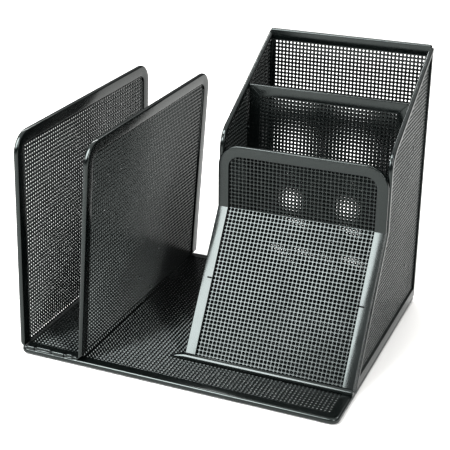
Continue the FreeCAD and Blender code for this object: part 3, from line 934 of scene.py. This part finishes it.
# ---------------------------------------------------------------- caddy back
# The back is a flat punched sheet welded between the rear edges of the side walls. A deep
# folded strip stiffens its top and is let into their rims, and a shallower one closes its foot.
back_low, back_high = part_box("caddy_back_top_band")
back_foot_low, back_foot_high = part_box("caddy_back_foot_band")
back_middle = (back_low.y + back_high.y) / 2


def back_place(a, b, t):
    """The back stands upright: across and up are x and z."""
    return a, back_middle + t + 0 * a, b + 0 * a


points, faces = perforated(
    (back_low.x, back_high.x),
    (TOP + STRIP, back_high.z - 3 * mm),
    back_place,
    face_side=-1,
    shift=(1.6 * mm, 1.0 * mm),
)
piece("caddy_back_sheet", points, faces, ["caddy_back_mesh"], mesh_enamel, "mesh", crease=0)
half = WALL / 2
for name, low, high, top_radius, foot_radius, taper, tuck in (
    ("top", back_low, back_high, 1.5 * mm, 0.4 * mm, 1.5 * mm, 1.9 * mm),
    ("foot", back_foot_low, back_foot_high, 0.8 * mm, 0.0, 0.0, 0.0),
):
    profile = section(
        [
            (back_middle - half + taper, low.z, foot_radius),
            (back_middle - half, high.z, top_radius),
            (back_middle + half, high.z, top_radius),
            (back_middle + half - taper, low.z, foot_radius),
        ]
    )
    points, faces, bend = straight(profile, low.x - tuck, high.x + tuck, across_place)
    piece(f"caddy_back_{name}_strip", points, faces, [f"caddy_back_{name}_band"], enamel, "enamel", bend)

# ---------------------------------------------------------------- divider
# A punched sheet in a flat frame of folded strip, mitred at its corners, parts the caddy. At
# each side a strip turns back along the wall and is riveted through it at two heights.
divider_low, divider_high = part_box("divider_frame")
DIVIDER_BAND = 11 * mm
DIVIDER_TAPER = 1.6 * mm
divider_middle = (divider_low.y + divider_high.y) / 2
half = WALL / 2


def divider_place(a, b, t):
    """The divider stands upright: across and up are x and z."""
    return a, divider_middle + t + 0 * a, b + 0 * a


divider_path = stations(
    [
        (divider_low.x, divider_low.z),
        (divider_low.x, divider_high.z),
        (divider_high.x, divider_high.z),
        (divider_high.x, divider_low.z),
    ],
    closed=True,
)
divider_section = section(
    [
        (0, -half, 0.9 * mm),
        (0, half, 0.9 * mm),
        (DIVIDER_BAND, half - DIVIDER_TAPER, 0.3 * mm),
        (DIVIDER_BAND, DIVIDER_TAPER - half, 0.3 * mm),
    ]
)
points, faces, bend = carried(divider_path, divider_section, divider_place, closed=True)
# a low bead of weld lies along each upper mitre, thickest in its middle
MITRE_BEAD = 0.55 * mm
bead_angle = np.linspace(0, 2 * math.pi, 8, endpoint=False)[:, None]
bead_across = MITRE_BEAD * np.column_stack([np.cos(bead_angle), 0.6 * np.sin(bead_angle)])
mitre_share = np.linspace(0.08, 0.95, 7)[:, None]
mitre_swell = np.sqrt(np.clip(1.05 - (2 * mitre_share - 1) ** 2, 0.02, 1))
beads = [(points, faces)]
for x, along in ((divider_low.x, 1), (divider_high.x, -1)):
    run = DIVIDER_BAND * mitre_share
    wide = mitre_swell * bead_across[:, 0]
    level = divider_middle - half + DIVIDER_TAPER * mitre_share + mitre_swell * bead_across[:, 1]
    aside = wide * math.sqrt(0.5)
    grid = np.stack([x + along * (run + aside), level, divider_high.z - run + aside], -1)
    beads.append(loft(grid))
points, faces = merged(beads)
bend = np.pad(bend, (0, len(points) - len(bend)), constant_values=0.8)
piece("divider_binding", points, faces, ["divider_frame"], enamel, "enamel", bend)
margin = DIVIDER_BAND / 2
points, faces = perforated(
    (divider_low.x + margin, divider_high.x - margin),
    (divider_low.z + margin, divider_high.z - margin),
    divider_place,
    face_side=-1,
    shift=(-1.1 * mm, -1.4 * mm),
)
piece("divider_sheet", points, faces, ["divider_mesh"], mesh_enamel, "mesh", crease=0)


def soften(item, width):
    """Round a piece's sharp edges, as the paint and the press leave them."""
    bevel = item.modifiers.new("softened", "BEVEL")
    bevel.width = width
    bevel.segments = 2
    bevel.limit_method = "ANGLE"
    bevel.angle_limit = math.radians(40)


for side in ("left", "right"):
    low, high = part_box(f"divider_{side}_bracket")
    # the rear corners of the strip are cut at 45 degrees
    clip = 6 * mm
    outline = np.array(
        [
            (low.y, low.z),
            (low.y, high.z - clip),
            (low.y + clip, high.z),
            (high.y - clip, high.z),
            (high.y, high.z - clip),
            (high.y, low.z),
        ]
    )
    grid = np.stack(
        [
            np.column_stack([np.full(len(outline), x), outline])
            for x in (low.x + 0.2 * mm, high.x - 0.2 * mm)
        ]
    )
    item = piece(f"divider_{side}_lug", *loft(grid), [f"divider_{side}_bracket"], enamel, "enamel")
    soften(item, 0.3 * mm)

rivet_steel = painted("rivet_enamel", (0.012, 0.013, 0.013), 0.26, rub=0.9)
rivets_low, rivets_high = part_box("divider_rivets")
RIVET_HEAD, RIVET_RISE = 2.5 * mm, 0.8 * mm
head_angle = np.linspace(0, math.pi / 2, 5)
head_profile = np.vstack(
    [
        [(0.0, -0.4)],
        [(1.0, -0.4)],
        np.column_stack([np.cos(head_angle), np.sin(head_angle)]),
    ]
) * (RIVET_HEAD, RIVET_RISE)


def axis_across(outward):
    """A turned piece whose axis points across the organizer, to the left or to the right."""

    def place(centre, u, v, w):
        return centre[0] + outward * w, centre[1] + u, centre[2] + v

    return place


rivet_y = (rivets_low.y + rivets_high.y) / 2
heads = []
for x, outward in (
    (rivets_low.x + RIVET_RISE, -1),
    (rivets_high.x - RIVET_RISE, 1),
    (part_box("divider_left_bracket")[1].x - 0.2 * mm, 1),
    (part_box("divider_right_bracket")[0].x + 0.2 * mm, -1),
):
    for z in (rivets_low.z + RIVET_HEAD, rivets_high.z - RIVET_HEAD):
        heads.append(turned(head_profile, (x, rivet_y, z), axis_across(outward), sides=20))
weld(piece("divider_rivet_heads", *merged(heads), ["divider_rivets"], rivet_steel, "rivets"))

# ---------------------------------------------------------------- memo panel
# The panel in front of the caddy is a punched sheet that rises upright, then slopes down to
# the tray. A folded strip binds it, with a slit half across each slope band.
MEMO_BAND, MEMO_CORNER = 11 * mm, 22 * mm
FOLD_RUN = 4 * mm
BEND_FRONT = Vector((0, memo_high.y - MEMO_THICK, TOP + MEMO_BEND))
SLOPE_LENGTH = (BEND_FRONT.z - memo_low.z) / math.sin(MEMO_SLOPE)


def memo_place(a, s, t):
    """A place on the bent panel: across it, along it from the bend, and into its thickness.

    Above the bend it stands upright. Below, each layer runs down the slope from its own line
    on the bend's mitre to the level of the panel's foot.
    """
    depth = t + MEMO_THICK / 2
    bend_y = BEND_FRONT.y + depth
    bend_z = BEND_FRONT.z - depth * BEND_MITRE
    down = np.maximum(-s, 0) / SLOPE_LENGTH
    fall = (bend_z - memo_low.z) * down
    y = bend_y - fall / math.tan(MEMO_SLOPE)
    z = np.where(s > 0, BEND_FRONT.z + s, 0) + np.where(s > 0, 0, bend_z - fall)
    near = np.clip(s / FOLD_RUN, 0, 1)
    z = np.where(s > 0, z - depth * BEND_MITRE * (1 - near), z)
    return a + 0 * z, y + 0 * z, z


memo_top = memo_high.z - BEND_FRONT.z
SLIT_UP = 67 * mm
SLIT_DOWN = (MEMO_BEND - SLIT_UP) / math.sin(MEMO_SLOPE)
# the slits' sides stand almost square to the band
SLIT, SLIT_DEPTH, SLIT_CORNER = 1.3 * mm, 5.5 * mm, 0.01 * mm
slit_ends = [
    -SLIT_DOWN - SLIT - SLIT_CORNER,
    -SLIT_DOWN - SLIT,
    -SLIT_DOWN,
    -SLIT_DOWN + SLIT_CORNER,
]
up_side = [-SLOPE_LENGTH] + slit_ends + [0, FOLD_RUN]
memo_path = stations(
    [(memo_low.x, s) for s in up_side]
    + [(memo_low.x, memo_top, MEMO_CORNER), (memo_high.x, memo_top, MEMO_CORNER)]
    + [(memo_high.x, s) for s in reversed(up_side)],
    steps=10,
)
in_slit = np.abs(memo_path[:, 1] + SLIT_DOWN + SLIT / 2) < SLIT / 2 + SLIT_CORNER / 2
memo_path = np.column_stack([memo_path, np.where(in_slit, MEMO_BAND - SLIT_DEPTH, MEMO_BAND)])
half = MEMO_THICK / 2
memo_section = section(
    [
        (0, 0.15 * mm - half, 0.9 * mm),
        (0, half - 0.15 * mm, 0.9 * mm),
        (MEMO_BAND - 0.4 * mm, half, 0.3 * mm),
        (MEMO_BAND, 0.45 * mm),
        (MEMO_BAND, -0.45 * mm),
        (MEMO_BAND - 0.4 * mm, -half, 0.3 * mm),
    ],
    steps=5,
)
points, faces, bend = carried(memo_path, memo_section, memo_place)
piece("memo_binding", points, faces, ["memo_frame"], enamel, "enamel", bend)
margin = MEMO_BAND / 2
slope_cells = round(SLOPE_LENGTH / PITCH)
upright_cells = round((memo_top - margin) / PITCH)
points, faces = perforated(
    (memo_low.x + margin, memo_high.x - margin),
    (-slope_cells * PITCH, upright_cells * PITCH),
    memo_place,
    clear_of_corners(memo_low.x, memo_high.x, memo_top, MEMO_CORNER),
    lambda a, s: (a, np.maximum(s, -SLOPE_LENGTH)),
    face_side=-1,
)
piece("memo_sheet", points, faces, ["memo_mesh"], mesh_enamel, "mesh", crease=0)

# ---------------------------------------------------------------- memo ledge
# A strip rolled to a round bead along its front edge catches the paper. Its left end is cut
# back to a point where it runs past the caddy.
ledge_low, ledge_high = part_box("memo_ledge")
LEDGE_STRIP = 1.2 * mm
ledge_up, ledge_deep = ledge_high.z - ledge_low.z, ledge_high.y - ledge_low.y
BEAD = 4.3 * mm
bead_section = section(
    [
        (0.0, 0.0, 0.4 * mm),
        (0.0, ledge_up, BEAD),
        (BEAD + 0.6 * mm, ledge_up, 0.5 * mm),
        (BEAD + 0.6 * mm, LEDGE_STRIP, 0.0),
        (ledge_deep, LEDGE_STRIP, 0.3 * mm),
        (ledge_deep, 0.0, 0.3 * mm),
    ],
    steps=7,
)
# how much of the section's height and depth is left at places along the strip
ledge_run = np.array([2.5, 3.2, 8.0, 14.0, 18.0]) * mm
ledge_share = np.array([0.25, 0.45, 0.75, 1.0, 1.0])
ledge_x = np.r_[ledge_low.x + ledge_run, ledge_high.x - 2.0 * mm, ledge_high.x - 0.6 * mm, ledge_high.x]
ledge_size = np.r_[ledge_share, 1.0, 0.94, 0.8]
grid = np.stack(
    [
        ledge_x[:, None] + 0 * bead_section[:, 0],
        ledge_low.y + bead_section[:, 0] * ledge_size[:, None],
        ledge_low.z + bead_section[:, 1] * ledge_size[:, None],
    ],
    -1,
)
piece("memo_ledge_strip", *loft(grid), ["memo_ledge"], enamel, "enamel")
